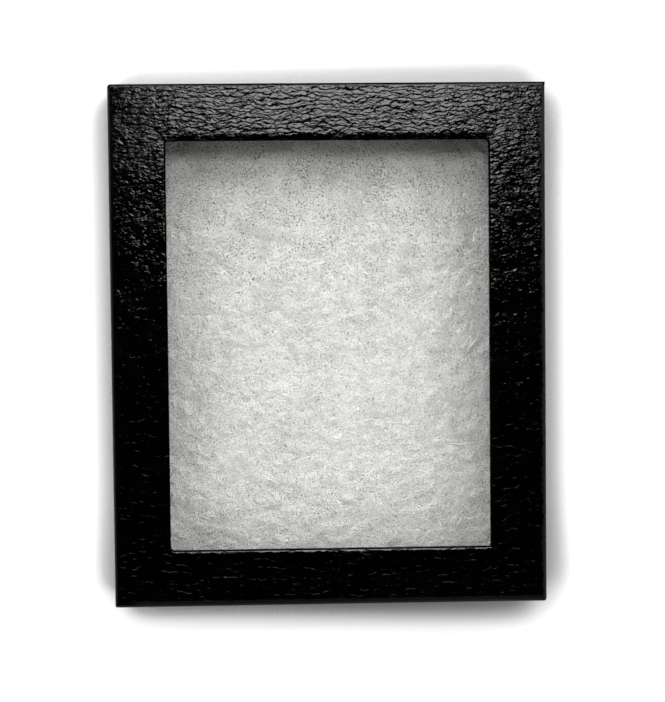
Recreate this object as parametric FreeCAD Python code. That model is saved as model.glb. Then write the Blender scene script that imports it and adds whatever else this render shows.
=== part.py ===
import FreeCAD, Part
import os

# Glass-topped specimen case of paper-covered board: a shallow tray holds a fibre pad, and a lid with
# a glazed window telescopes over it. The case lies on its back: +Z points out of the glass, +Y to
# the top of the case, and the origin is the middle of the back. All sizes are in millimetres.

# Driving dimensions: the closed case
CASE_WIDTH = 127.0
CASE_LENGTH = 152.4
CASE_DEPTH = 19.05
WINDOW_BORDER = 16.5      # from the outside of the lid to the finished edge of the window
RIM_GAP = 0.8             # the lid's rim stops this far above the back of the tray
SLIDE_FIT = 0.4           # between the lid and the tray, on each side

# Driving dimensions: board, paper, tape, glass and fibre
FACE_BOARD = 1.5
LID_WALL_BOARD = 1.5
TRAY_WALL_BOARD = 1.5
FLOOR_BOARD = 1.5
STRIP_BOARD = 1.5
STRIP_WIDTH = 8.0
PAPER = 0.25
BACK_SHEET = 0.25
BACK_SHEET_INSET = 1.5    # the sheet on the back stops this far inside the tray's outline
STAY_TAPE = 0.15
STAY_REACH = 12.0         # each leg of a corner stay
GLASS = 2.0
GLASS_FIT = 0.6           # between the pane and the lid's walls, on each side
GLASS_ARRIS = 0.2         # the seamed edge of the pane
SPECIMEN_SPACE = 5.0      # free height between the pad and the glass
PAD_FIT = 0.4             # between the pad and the paper inside the tray, on each side
PAD_CORNER = 4.0
PAD_ROUND = 2.5

# Driving dimensions: folds of the covering paper
FOLD_RADIUS = 1.0         # round the front edges of the lid's face, outside and at the window
CORNER_RADIUS = 1.2       # the lid's upright corners
TRAY_CORNER_RADIUS = 1.0
EDGE_ROUND = 0.5          # the paper over the lid's rim and the tray's edges
LID_TURN_IN = 8.0         # up the inside of the lid's walls
WINDOW_TURN_IN = 8.0      # behind the face, around the window
TRAY_TURN_IN = 6.0        # down the inside of the tray's walls
TRAY_TURN_UNDER = 12.0    # under the tray's floor

# Heights, from the back of the case up
TRAY_UNDERSIDE = BACK_SHEET + PAPER
FLOOR_TOP = TRAY_UNDERSIDE + FLOOR_BOARD
FACE_BOARD_TOP = CASE_DEPTH - PAPER
FACE_BOARD_UNDERSIDE = FACE_BOARD_TOP - FACE_BOARD
GLASS_TOP = FACE_BOARD_UNDERSIDE - PAPER
GLASS_UNDERSIDE = GLASS_TOP - GLASS
STRIP_UNDERSIDE = GLASS_UNDERSIDE - STRIP_BOARD
TRAY_TOP = STRIP_UNDERSIDE
PAD_TOP = GLASS_UNDERSIDE - SPECIMEN_SPACE

# Plans, as (width, length)
LID_PLAN = (CASE_WIDTH, CASE_LENGTH)


def inset(plan, distance):
    """The plan made smaller by a distance on each side."""
    return (plan[0] - 2 * distance, plan[1] - 2 * distance)


LID_BOARD_PLAN = inset(LID_PLAN, PAPER)
LID_INNER_PLAN = inset(LID_BOARD_PLAN, LID_WALL_BOARD)
WINDOW_PLAN = inset(LID_PLAN, WINDOW_BORDER)
TRAY_PLAN = inset(LID_INNER_PLAN, PAPER + SLIDE_FIT)
TRAY_BOARD_PLAN = inset(TRAY_PLAN, PAPER)
TRAY_INNER_PLAN = inset(TRAY_BOARD_PLAN, TRAY_WALL_BOARD)

SIDES = ("left", "right", "top", "bottom")
CORNERS = {
    "top_left": (-1, 1),
    "top_right": (1, 1),
    "bottom_left": (-1, -1),
    "bottom_right": (1, -1),
}


def slab(plan, low, high, corner_radius=0.0):
    """An upright block centred on the case's axis, with its upright edges rounded."""
    width, length = plan
    corner = FreeCAD.Vector(-width / 2, -length / 2, low)
    block = Part.makeBox(width, length, high - low, corner)
    if corner_radius:
        block = block.makeFillet(corner_radius, upright_edges(block))
    return block


def ring(outer_plan, inner_plan, low, high):
    """A square-cornered frame between two plans."""
    return slab(outer_plan, low, high).cut(slab(inner_plan, low, high))


def upright_edges(shape):
    """The straight edges that run along Z."""
    found = []
    for edge in shape.Edges:
        box = edge.BoundBox
        if box.XLength < 1e-6 and box.YLength < 1e-6:
            found.append(edge)
    return found


def edges_at(shape, height):
    """The edges that lie flat at a height."""
    found = []
    for edge in shape.Edges:
        box = edge.BoundBox
        if abs(box.ZMin - height) < 1e-6 and abs(box.ZMax - height) < 1e-6:
            found.append(edge)
    return found


def side_bar(side, outer_plan, thickness, low, high):
    """One of four bars around a plan. The left and right bars run through, and the others fit between."""
    width, length = outer_plan
    if side in ("left", "right"):
        bar = Part.makeBox(thickness, length, high - low)
        x = -width / 2 if side == "left" else width / 2 - thickness
        bar.translate(FreeCAD.Vector(x, -length / 2, low))
        return bar
    bar = Part.makeBox(width - 2 * thickness, thickness, high - low)
    y = length / 2 - thickness if side == "top" else -length / 2
    bar.translate(FreeCAD.Vector(thickness - width / 2, y, low))
    return bar


def corner_stays(board_plan, corner_radius, low, high):
    """Four angles of paper tape, pressed flush into the outside of the board at the corners."""
    skin = slab(board_plan, low, high, corner_radius)
    inside = slab(inset(board_plan, STAY_TAPE), low, high, corner_radius - STAY_TAPE)
    skin = skin.cut(inside)
    stays = {}
    for corner, (x_side, y_side) in CORNERS.items():
        reach = Part.makeBox(STAY_REACH, STAY_REACH, high - low)
        x = board_plan[0] / 2 - STAY_REACH if x_side > 0 else -board_plan[0] / 2
        y = board_plan[1] / 2 - STAY_REACH if y_side > 0 else -board_plan[1] / 2
        reach.translate(FreeCAD.Vector(x, y, low))
        stays[corner] = skin.common(reach)
    return stays


def board_walls(board_plan, wall, corner_radius, low, high, stays):
    """Four wall boards, with their outer corners rounded and a seat pressed in for each stay."""
    outline = slab(board_plan, low, high, corner_radius)
    walls = {}
    for side in SIDES:
        board = side_bar(side, board_plan, wall, low, high).common(outline)
        for stay in stays.values():
            board = board.cut(stay)
        walls[side] = board
    return walls


def fused(shapes):
    """Several shapes made one."""
    shapes = list(shapes)
    return shapes[0].multiFuse(shapes[1:])


def lid_face_board():
    """The lid's face: a board frame with its front edges eased, outside and around the window."""
    low, high = FACE_BOARD_UNDERSIDE, FACE_BOARD_TOP
    frame = slab(LID_BOARD_PLAN, low, high, CORNER_RADIUS - PAPER)
    frame = frame.cut(slab(inset(WINDOW_PLAN, -PAPER), low, high))
    return frame.makeFillet(FOLD_RADIUS - PAPER, edges_at(frame, high))


def lid_wrap(core):
    """The lid's covering paper: over the face and walls, turned in at the rim and behind the window."""
    wrapped = slab(LID_PLAN, RIM_GAP, CASE_DEPTH, CORNER_RADIUS)
    wrapped = wrapped.cut(slab(WINDOW_PLAN, RIM_GAP, CASE_DEPTH))
    wrapped = wrapped.makeFillet(FOLD_RADIUS, edges_at(wrapped, CASE_DEPTH))
    rim_fold = ring(LID_INNER_PLAN, inset(LID_INNER_PLAN, PAPER), RIM_GAP, RIM_GAP + LID_TURN_IN)
    window_fold = ring(
        inset(WINDOW_PLAN, -WINDOW_TURN_IN), WINDOW_PLAN, GLASS_TOP, FACE_BOARD_UNDERSIDE
    )
    hollow = slab(LID_INNER_PLAN, RIM_GAP, FACE_BOARD_UNDERSIDE).cut(rim_fold).cut(window_fold)
    wrapped = wrapped.cut(hollow)
    wrapped = wrapped.makeFillet(EDGE_ROUND, edges_at(wrapped, RIM_GAP))
    return wrapped.cut(core)


def glass_pane():
    """The pane behind the face, with seamed edges."""
    pane = slab(inset(LID_INNER_PLAN, GLASS_FIT), GLASS_UNDERSIDE, GLASS_TOP)
    return pane.makeChamfer(GLASS_ARRIS, pane.Edges)


def tray_wrap(core):
    """The tray's covering paper: around the walls, turned in over their tops and under the floor."""
    low = BACK_SHEET
    wrapped = slab(TRAY_PLAN, low, TRAY_TOP, TRAY_CORNER_RADIUS)
    top_fold = ring(TRAY_INNER_PLAN, inset(TRAY_INNER_PLAN, PAPER), TRAY_TOP - TRAY_TURN_IN, TRAY_TOP)
    wrapped = wrapped.cut(slab(TRAY_INNER_PLAN, FLOOR_TOP, TRAY_TOP).cut(top_fold))
    wrapped = wrapped.makeFillet(EDGE_ROUND, edges_at(wrapped, TRAY_TOP) + edges_at(wrapped, low))
    bare_floor = slab(inset(TRAY_PLAN, TRAY_TURN_UNDER), low, TRAY_UNDERSIDE)
    return wrapped.cut(bare_floor).cut(core)


def fibre_pad():
    """The plain body of the fibre pad that lies in the tray."""
    plan = inset(TRAY_INNER_PLAN, PAPER + PAD_FIT)
    pad = slab(plan, FLOOR_TOP, PAD_TOP, PAD_CORNER)
    return pad.makeFillet(PAD_ROUND, edges_at(pad, PAD_TOP))


def lid_parts():
    """Everything that lifts off with the lid."""
    low, high = RIM_GAP + PAPER, FACE_BOARD_UNDERSIDE
    corner_radius = CORNER_RADIUS - PAPER
    stays = corner_stays(LID_BOARD_PLAN, corner_radius, low, high)
    walls = board_walls(LID_BOARD_PLAN, LID_WALL_BOARD, corner_radius, low, high, stays)
    face = lid_face_board()
    parts = {"lid_face_board": face}
    for side in SIDES:
        parts["lid_wall_" + side] = walls[side]
        parts["glass_strip_" + side] = side_bar(
            side, LID_INNER_PLAN, STRIP_WIDTH, STRIP_UNDERSIDE, GLASS_UNDERSIDE
        )
    for corner, stay in stays.items():
        parts["lid_corner_stay_" + corner] = stay
    parts["lid_wrap"] = lid_wrap(fused([face, *walls.values(), *stays.values()]))
    parts["glass_pane"] = glass_pane()
    return parts


def tray_parts():
    """Everything that stays on the table."""
    low, high = TRAY_UNDERSIDE, TRAY_TOP - PAPER
    corner_radius = TRAY_CORNER_RADIUS - PAPER
    stays = corner_stays(TRAY_BOARD_PLAN, corner_radius, low, high)
    walls = board_walls(TRAY_BOARD_PLAN, TRAY_WALL_BOARD, corner_radius, low, high, stays)
    floor = slab(TRAY_INNER_PLAN, TRAY_UNDERSIDE, FLOOR_TOP)
    parts = {"tray_floor_board": floor}
    for side in SIDES:
        parts["tray_wall_" + side] = walls[side]
    for corner, stay in stays.items():
        parts["tray_corner_stay_" + corner] = stay
    parts["tray_wrap"] = tray_wrap(fused([floor, *walls.values(), *stays.values()]))
    parts["tray_back_sheet"] = slab(inset(TRAY_PLAN, BACK_SHEET_INSET), 0.0, BACK_SHEET)
    parts["fibre_pad"] = fibre_pad()
    return parts


def save(name, shape):
    """Writes one node, which has to be one valid solid."""
    if len(shape.Solids) != 1 or not shape.isValid():
        raise ValueError(f"{name} has {len(shape.Solids)} solids, valid: {shape.isValid()}")
    solid = shape.Solids[0]
    solid.exportStep(f"parts/{name}.step")
    print(f"{name}: {solid.Volume:.1f} mm3")


os.makedirs("parts", exist_ok=True)
for node, shape in {**tray_parts(), **lid_parts()}.items():
    save(node, shape)
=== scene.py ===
# %% [markdown]
# # A glass-topped specimen case
# The case is a tray of paper-covered board that holds a pad of white fibre, and a lid with a glazed
# window that telescopes over it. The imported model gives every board, strip and pane at its real place.
# This lesson adds what the eye sees: black paper with an embossed grain, folded round the boards, the
# fibre under the glass, and finishes for the boards that show when the lid is off.

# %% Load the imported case
import math

import bpy
import numpy as np
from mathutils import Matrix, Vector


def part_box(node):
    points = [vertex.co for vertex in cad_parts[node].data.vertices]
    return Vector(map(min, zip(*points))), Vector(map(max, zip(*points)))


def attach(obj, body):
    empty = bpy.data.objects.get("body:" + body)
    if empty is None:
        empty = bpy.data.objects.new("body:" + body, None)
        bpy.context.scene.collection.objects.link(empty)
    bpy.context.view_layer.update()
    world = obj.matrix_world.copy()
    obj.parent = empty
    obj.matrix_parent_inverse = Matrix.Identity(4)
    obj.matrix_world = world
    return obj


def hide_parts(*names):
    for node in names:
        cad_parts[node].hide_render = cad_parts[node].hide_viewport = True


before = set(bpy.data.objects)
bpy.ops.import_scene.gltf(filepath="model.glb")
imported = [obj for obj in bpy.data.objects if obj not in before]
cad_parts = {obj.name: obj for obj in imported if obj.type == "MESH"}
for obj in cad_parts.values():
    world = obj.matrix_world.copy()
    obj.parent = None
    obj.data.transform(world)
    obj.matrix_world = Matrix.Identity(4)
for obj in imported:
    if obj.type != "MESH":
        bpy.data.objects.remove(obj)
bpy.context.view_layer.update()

MM = 0.001
TINY = 1e-9
scene = bpy.context.scene
scene.view_settings.view_transform = "Standard"

# %% [markdown]
# ## Sizes
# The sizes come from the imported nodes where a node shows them. What a box round a node can't show, such
# as the border of the window and the radius of a fold, is named here, in metres.

# %% Sizes of the case
LID_LOW, LID_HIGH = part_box("lid_wrap")
TRAY_LOW, TRAY_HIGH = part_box("tray_wrap")
PAD_LOW, PAD_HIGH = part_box("fibre_pad")
GLASS_LOW, GLASS_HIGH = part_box("glass_pane")
FACE_BOARD_LOW, FACE_BOARD_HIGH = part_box("lid_face_board")
HALF_WIDTH = LID_HIGH.x
HALF_LENGTH = LID_HIGH.y
FACE = LID_HIGH.z
PAPER = FACE - FACE_BOARD_HIGH.z
WINDOW_BORDER = 16.5 * MM
WINDOW_HALF_WIDTH = HALF_WIDTH - WINDOW_BORDER
WINDOW_HALF_LENGTH = HALF_LENGTH - WINDOW_BORDER
FOLD = 1.0 * MM
print("lid", round(2 * HALF_WIDTH, 4), "by", round(2 * HALF_LENGTH, 4), "face at", round(FACE, 5))

# %% [markdown]
# ## Working with operators from a script
# Operators act on whatever is selected, and loading the case leaves its nodes selected. So each step
# starts by clearing the selection and choosing one object. Faces are selected in code, by their place,
# and reading or writing all the points of a mesh at once keeps large meshes quick.

# %% Selection and mesh helpers
def pick(piece):
    """Leaves one object selected and active, in object mode."""
    if bpy.context.mode != "OBJECT":
        bpy.ops.object.mode_set(mode="OBJECT")
    bpy.ops.object.select_all(action="DESELECT")
    piece.select_set(True)
    bpy.context.view_layer.objects.active = piece


def points_of(piece):
    """The mesh's points as rows of x, y, z."""
    points = np.empty(len(piece.data.vertices) * 3)
    piece.data.vertices.foreach_get("co", points)
    return points.reshape(-1, 3)


def move_points(piece, points):
    piece.data.vertices.foreach_set("co", np.asarray(points, float).ravel())
    piece.data.update()


def face_vectors(piece, kind):
    """The "center" or the "normal" of each face, as rows of x, y, z."""
    rows = np.empty(len(piece.data.polygons) * 3)
    piece.data.polygons.foreach_get(kind, rows)
    return rows.reshape(-1, 3)


def select_faces(piece, chosen):
    """Opens the piece in edit mode with only the chosen faces selected."""
    pick(piece)
    mesh = piece.data
    mesh.vertices.foreach_set("select", np.zeros(len(mesh.vertices), bool))
    mesh.edges.foreach_set("select", np.zeros(len(mesh.edges), bool))
    mesh.polygons.foreach_set("select", np.asarray(chosen, bool))
    bpy.context.tool_settings.mesh_select_mode = (False, False, True)
    bpy.ops.object.mode_set(mode="EDIT")


def delete_faces(piece, chosen):
    select_faces(piece, chosen)
    bpy.ops.mesh.delete(type="FACE")
    bpy.ops.object.mode_set(mode="OBJECT")


def weld(piece, distance):
    """Merges the points that lie together."""
    pick(piece)
    bpy.ops.object.mode_set(mode="EDIT")
    bpy.ops.mesh.select_all(action="SELECT")
    bpy.ops.mesh.remove_doubles(threshold=distance)
    bpy.ops.mesh.normals_make_consistent(inside=False)
    bpy.ops.object.mode_set(mode="OBJECT")


def report(piece):
    print(piece.name, len(piece.data.polygons), "faces")


# %% [markdown]
# ## The camera
# The case is seen from nearly straight above, a little from its left and from its top edge, and turned a
# fraction of a degree.

# %% Camera
CAMERA_HEIGHT = 450 * MM
camera = bpy.data.objects.new("camera", bpy.data.cameras.new("camera"))
scene.collection.objects.link(camera)
camera.location = (-13.14 * MM, 18.18 * MM, FACE + CAMERA_HEIGHT)
camera.rotation_euler = [math.radians(turn) for turn in (-2.497, -1.81, -0.58)]
camera.data.lens = 79.25
camera.data.sensor_width = 36.0
camera.data.clip_start = 0.01
scene.camera = camera

# %% [markdown]
# ## Light
# A broad soft lamp hangs beyond the top edge of the case, so that the top bar of the frame mirrors it
# and the bottom bar doesn't. A ring of paler light round the horizon fills the shadows, and the part of
# the sky straight above stays dark, which keeps the black paper black.

# %% Lamp
LAMP_EDGE = (119 * MM, FACE + 280 * MM)
LAMP_TILT = math.radians(29)
LAMP_STRENGTH = 4.5
LAMP_WIDTH = 0.23
LAMP_SHIFT = 13 * MM
edge_distance = math.hypot(*LAMP_EDGE)
edge_angle = math.atan2(*LAMP_EDGE)
lamp_distance = edge_distance * math.cos(LAMP_TILT - edge_angle)
lamp_size = 2 * edge_distance * math.sin(LAMP_TILT - edge_angle)
lamp = bpy.data.objects.new("lamp", bpy.data.lights.new("lamp", "AREA"))
scene.collection.objects.link(lamp)
lamp.data.shape = "RECTANGLE"
lamp.data.size = LAMP_WIDTH
lamp.data.size_y = lamp_size
lamp.data.energy = LAMP_STRENGTH * math.pi * lamp_size * LAMP_WIDTH
lamp.location = (LAMP_SHIFT, lamp_distance * math.sin(LAMP_TILT), lamp_distance * math.cos(LAMP_TILT))
lamp.rotation_euler = (-LAMP_TILT, 0, 0)
print("lamp", LAMP_WIDTH, "by", round(lamp_size, 3), "m,", round(lamp_distance, 3), "m away")

# %% [markdown]
# ## Small helpers for nodes
# A material is a tree of nodes. The helpers add one node with its values and links, or one sum, so
# that a recipe reads like a formula. The same helpers serve shader trees and geometry trees.

# %% Node helpers
def add(tree, kind, inputs=None, **settings):
    """Adds a node, sets its properties, and fills its sockets with values or links."""
    node = tree.nodes.new(kind)
    for name, value in settings.items():
        setattr(node, name, value)
    for key, value in (inputs or {}).items():
        if isinstance(value, bpy.types.NodeSocket):
            tree.links.new(value, node.inputs[key])
        else:
            node.inputs[key].default_value = value
    return node


def calculate(tree, operation, *values):
    """One step of arithmetic."""
    return add(tree, "ShaderNodeMath", dict(enumerate(values)), operation=operation).outputs[0]


def move(tree, operation, *values):
    """One step of arithmetic on vectors."""
    kind = "ShaderNodeVectorMath"
    return add(tree, kind, dict(enumerate(values)), operation=operation).outputs[0]


def ramp(tree, value, low, high, to_low=0.0, to_high=1.0):
    """Maps a value from one range to another, smoothly and without passing its ends."""
    keys = {"Value": value, "From Min": low, "From Max": high, "To Min": to_low, "To Max": to_high}
    return add(tree, "ShaderNodeMapRange", keys, interpolation_type="SMOOTHSTEP").outputs[0]


def enlarge(tree, vector, amount):
    """A vector times a number."""
    keys = {0: vector, "Scale": amount}
    return add(tree, "ShaderNodeVectorMath", keys, operation="SCALE").outputs[0]


def noise(tree, place, scale, detail=2.0, roughness=0.5):
    keys = {"Vector": place, "Scale": scale, "Detail": detail, "Roughness": roughness}
    return add(tree, "ShaderNodeTexNoise", keys)


def new_material(name):
    """A material with an empty tree but for its output and a Principled shader."""
    material = bpy.data.materials.new(name)
    material.use_nodes = True
    tree = material.node_tree
    shader = tree.nodes["Principled BSDF"]
    return material, tree, shader


MIX_SHARE, MIX_FIRST, MIX_SECOND, MIX_RESULT = 0, 6, 7, 2


def mix_colours(tree, share, first, second):
    """A colour between two, each a socket or its red, green and blue."""
    first, second = [(*colour, 1) if isinstance(colour, tuple) else colour for colour in (first, second)]
    keys = {MIX_SHARE: share, MIX_FIRST: first, MIX_SECOND: second}
    return add(tree, "ShaderNodeMix", keys, data_type="RGBA").outputs[MIX_RESULT]


# %% [markdown]
# The lamp is a soft box, and its cloth is darker towards its left and right ends. Its nodes read how far
# across the lamp each ray starts.

# %% Soft ends of the lamp
lamp.data.use_nodes = True
lamp_tree = lamp.data.node_tree
SOFT_FROM, LAMP_END = 0.217, 0.5
ray_start = add(lamp_tree, "ShaderNodeNewGeometry").outputs["Parametric"]
across = add(lamp_tree, "ShaderNodeSeparateXYZ", {0: ray_start}).outputs["X"]
from_middle = calculate(lamp_tree, "ABSOLUTE", calculate(lamp_tree, "SUBTRACT", across, 0.5))
soft_ends = ramp(lamp_tree, from_middle, SOFT_FROM, LAMP_END, 1.0, 0.0)
lamp_tree.links.new(soft_ends, lamp_tree.nodes["Emission"].inputs["Strength"])

# %% [markdown]
# ## The embossed grain
# The paper is embossed with a grain like creased hide. It is a field of flat scales, wider than they are
# high. Each leans a little towards the top of the sheet, so that its lower edge stands above the scale
# below it, and the step between them is a crease that is dark on one side only. The cells of a stretched
# Voronoi pattern are the scales, and noise bends them and lets parts of the creases fade. The recipe is a
# node group, built once for shaders and once for geometry, so that real relief in the mesh and fine
# relief in the shading come from the same formula and agree. Its place is given in millimetres on the
# flat sheet, and its height is in millimetres too.

# %% Node groups
def start_group(name, kind, inputs, outputs):
    """An empty group with these sockets, and its inner input and output nodes."""
    tree = bpy.data.node_groups.new(name, kind)
    for way, sockets in (("INPUT", inputs), ("OUTPUT", outputs)):
        for socket, value_type in sockets.items():
            tree.interface.new_socket(socket, in_out=way, socket_type="NodeSocket" + value_type)
    return tree, tree.nodes.new("NodeGroupInput"), tree.nodes.new("NodeGroupOutput")


def place_group(tree, group, inputs):
    """One use of a group in a tree."""
    kind = "ShaderNodeGroup" if group.bl_idname == "ShaderNodeTree" else "GeometryNodeGroup"
    return add(tree, kind, inputs, node_tree=group)


# %% Grain recipe
GRAIN_SCALE = 1.1
MESH_SHARE = 0.4
MESH_REACH = 0.3
LEAN_SPREAD = 0.012
LARGE_SCALE = (3.9, 1.55, 0.064)
SMALL_SCALE = (2.2, 0.85, 0.062)
LARGE_CREASE, SMALL_CREASE = 0.16, 0.22
WANDER = (2.6, 2.3, 0.0)
DRIFT = 4.0
STREAK_HEIGHT = 0.025


def grain_group(name, kind, fine):
    """The height of the grain, and how near a crease is, from 0 to 1. The mesh takes a share of the
    large scales, with softer steps, and the shading adds the rest."""
    outputs = {"Height": "Float", "Crease": "Float"}
    tree, source, result = start_group(name, kind, {"Place": "Vector"}, outputs)
    place = move(tree, "MULTIPLY", source.outputs["Place"], (GRAIN_SCALE, GRAIN_SCALE, GRAIN_SCALE))
    drift = noise(tree, place, 0.075, 1.0).outputs[0]
    drift = calculate(tree, "MULTIPLY", calculate(tree, "SUBTRACT", drift, 0.5), DRIFT)
    wander = move(tree, "SUBTRACT", noise(tree, place, 0.4, 2.0, 0.5).outputs[1], (0.5, 0.5, 0.5))
    wander = move(tree, "MULTIPLY", wander, WANDER)
    bend = add(tree, "ShaderNodeCombineXYZ", {"Y": drift}).outputs[0]
    bent = move(tree, "ADD", move(tree, "ADD", place, wander), bend)

    def scales(width, height, lean, fade):
        """A layer of leaning scales: its height far from the creases, and the distance to a crease."""
        cells = move(tree, "DIVIDE", bent, (width, height, 1.0))
        keys = {"Vector": cells, "Scale": 1.0, "Randomness": 1.0}

        def cell(feature):
            return add(tree, "ShaderNodeTexVoronoi", keys, feature=feature, voronoi_dimensions="2D")

        middle = cell("F1")
        offset = move(tree, "SUBTRACT", cells, middle.outputs["Position"])
        upwards = add(tree, "ShaderNodeSeparateXYZ", {0: offset}).outputs["Y"]
        varied = calculate(tree, "SUBTRACT", middle.outputs["Color"], 0.5)
        slope = calculate(tree, "MULTIPLY_ADD", varied, -LEAN_SPREAD * height, -lean * height)
        rise = calculate(tree, "MULTIPLY", calculate(tree, "MULTIPLY", slope, upwards), fade)
        return rise, cell("DISTANCE_TO_EDGE").outputs["Distance"]

    def flatness(distance, reach):
        """0 in a crease and 1 past its reach."""
        return add(tree, "ShaderNodeClamp", {0: calculate(tree, "DIVIDE", distance, reach)}).outputs[0]

    def patches(scale, low, high, least, most):
        """Where a layer fades out."""
        return ramp(tree, noise(tree, place, scale, 2.0).outputs[0], low, high, least, most)

    large_fade = patches(0.33, 0.34, 0.5, 0.5, 1.0)
    rise, distance = scales(*LARGE_SCALE, large_fade)
    in_mesh = calculate(tree, "MULTIPLY", flatness(distance, MESH_REACH), MESH_SHARE)
    if not fine:
        tree.links.new(calculate(tree, "MULTIPLY", rise, in_mesh), result.inputs["Height"])
        return tree
    flat = flatness(distance, LARGE_CREASE)
    large = calculate(tree, "MULTIPLY", rise, calculate(tree, "SUBTRACT", flat, in_mesh))
    crease = calculate(tree, "MULTIPLY", calculate(tree, "SUBTRACT", 1.0, flat), large_fade)
    small_fade = patches(0.5, 0.38, 0.58, 0.0, 0.9)
    rise, distance = scales(*SMALL_SCALE, small_fade)
    flat = flatness(distance, SMALL_CREASE)
    small = calculate(tree, "MULTIPLY", rise, flat)
    small_crease = calculate(tree, "MULTIPLY", calculate(tree, "SUBTRACT", 1.0, flat), small_fade)
    streaks = noise(tree, move(tree, "MULTIPLY", bent, (0.9, 1.8, 1.0)), 1.3, 1.0).outputs[0]
    streaks = calculate(tree, "MULTIPLY", calculate(tree, "SUBTRACT", streaks, 0.5), STREAK_HEIGHT)
    crease = calculate(tree, "MAXIMUM", crease, small_crease)
    height = calculate(tree, "ADD", calculate(tree, "ADD", large, small), streaks)
    tree.links.new(height, result.inputs["Height"])
    tree.links.new(crease, result.inputs["Crease"])
    return tree


FINE_GRAIN = grain_group("leather_grain", "ShaderNodeTree", True)
COARSE_GRAIN = grain_group("leather_creases", "GeometryNodeTree", False)

# %% [markdown]
# ## Relief in the mesh
# A geometry node tree reads each point's place on the flat sheet, and how strong the grain is there, and
# moves the point along its normal by the height that the recipe gives. The modifier is applied, so the
# creases are real in the mesh.

# %% Emboss modifier
def emboss_tree():
    inputs = {"Geometry": "Geometry", "Unit": "Float"}
    tree, source, result = start_group("emboss", "GeometryNodeTree", inputs, {"Geometry": "Geometry"})
    kind = "GeometryNodeInputNamedAttribute"
    place = add(tree, kind, {"Name": "sheet"}, data_type="FLOAT_VECTOR").outputs[0]
    strength = add(tree, kind, {"Name": "grain"}, data_type="FLOAT").outputs[0]
    height = place_group(tree, COARSE_GRAIN, {"Place": place}).outputs["Height"]
    raised = calculate(tree, "MULTIPLY", calculate(tree, "MULTIPLY", height, strength), source.outputs[1])
    normal = tree.nodes.new("GeometryNodeInputNormal").outputs[0]
    keys = {"Geometry": source.outputs[0], "Offset": enlarge(tree, normal, raised)}
    moved = add(tree, "GeometryNodeSetPosition", keys)
    tree.links.new(moved.outputs[0], result.inputs[0])
    return tree


EMBOSS = emboss_tree()


def emboss(piece):
    pick(piece)
    modifier = piece.modifiers.new("emboss", "NODES")
    modifier.node_group = EMBOSS
    modifier[EMBOSS.interface.items_tree["Unit"].identifier] = MM
    bpy.ops.object.modifier_apply(modifier=modifier.name)


# %% [markdown]
# ## The black paper
# The paper is black with a varnished surface. Creases are a little duller than the plateaus, which have
# been rubbed. The shader reads the same place on the sheet as the modifier did, and adds the fine relief
# that the mesh is too coarse to hold. Where the sheet is pulled round an edge, its grain is flattened and
# its varnish is crazed. So the paper has four finishes: the open sheet; the folds round the window and
# along the top edge, whose gloss is turned almost to nothing so that they stay black as painted shade;
# the other outer edges, whose gloss is turned down to keep them dark as painted shade too; and the tray.

# %% Black paper material
CRAZED_FROM, CRAZED_TO = -61.0, -55.0
BLACK, WORN_BLACK = (0.0001, 0.0001, 0.0001), (0.0004, 0.0004, 0.0004)


def black_paper(name, relief, gloss):
    """Black paper with this share of the full relief, and this specular level."""
    material, tree, shader = new_material(name)
    place = add(tree, "ShaderNodeAttribute", attribute_name="sheet").outputs["Vector"]
    strength = add(tree, "ShaderNodeAttribute", attribute_name="grain").outputs["Fac"]
    grain = place_group(tree, FINE_GRAIN, {"Place": place})
    height = calculate(tree, "MULTIPLY", grain.outputs["Height"], strength)
    bump = add(tree, "ShaderNodeBump", {"Height": height, "Distance": relief * MM, "Strength": 1.0})
    tree.links.new(bump.outputs[0], shader.inputs["Normal"])
    wear = noise(tree, place, 0.12, 3.0).outputs[0]
    dull = ramp(tree, grain.outputs["Crease"], 0.0, 1.0, 0.1, 0.12)
    dull = calculate(tree, "ADD", dull, ramp(tree, wear, 0.3, 0.7, -0.01, 0.02))
    from_left = add(tree, "ShaderNodeSeparateXYZ", {0: place}).outputs["X"]
    crazed = ramp(tree, from_left, CRAZED_FROM, CRAZED_TO, 0.08, 0.22)
    dull = calculate(tree, "MULTIPLY_ADD", ramp(tree, strength, 0.1, 1.0, 1.0, 0.0), crazed, dull)
    tree.links.new(dull, shader.inputs["Roughness"])
    tint = mix_colours(tree, ramp(tree, wear, 0.35, 0.65), BLACK, WORN_BLACK)
    tree.links.new(tint, shader.inputs["Base Color"])
    shader.inputs["Specular IOR Level"].default_value = gloss
    return material


LEATHER_PAPER = black_paper("black_grained_paper", 1.1, 0.8)
# Painted shade: the folds and the outer edges are the same paper with its gloss turned down, so that they
# stay dark where the varnish would mirror the sky.
SHADED_FOLD_PAPER = black_paper("black_folded_paper_painted_shade", 0.75, 0.006)
SHADED_EDGE_PAPER = black_paper("black_edge_paper_painted_shade", 0.75, 0.12)
TRAY_PAPER = black_paper("black_tray_paper", 0.75, 0.5)

# %% [markdown]
# ## Folding a sheet
# Real paper is cut flat and folded round the boards, and the mesh is made in the same way. A grid
# is laid flat, with its lines closer together where the paper will bend. The faces that a knife would
# cut away are deleted. Each point then travels along the folded edge by its distance on the flat sheet.

# %% Path of a folded edge
def follow(distance, moves):
    """Where points lie that have gone this far past the start of a fold: (outwards, downwards).
    Each move is (length, radius): a run straight on, or an arc where the radius isn't zero."""
    spot = np.zeros((len(distance), 2))
    spot[:, 0] = np.minimum(distance, 0.0)
    heading = 0.0
    left = np.asarray(distance, float)
    for length, radius in moves:
        gone = np.clip(left, 0.0, length)
        if radius:
            turn = heading + gone / radius
            spot[:, 0] += radius * (np.sin(turn) - math.sin(heading))
            spot[:, 1] += radius * (math.cos(heading) - np.cos(turn))
            heading += length / radius
        else:
            spot[:, 0] += gone * math.cos(heading)
            spot[:, 1] += gone * math.sin(heading)
        left = left - length
    return spot


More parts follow.
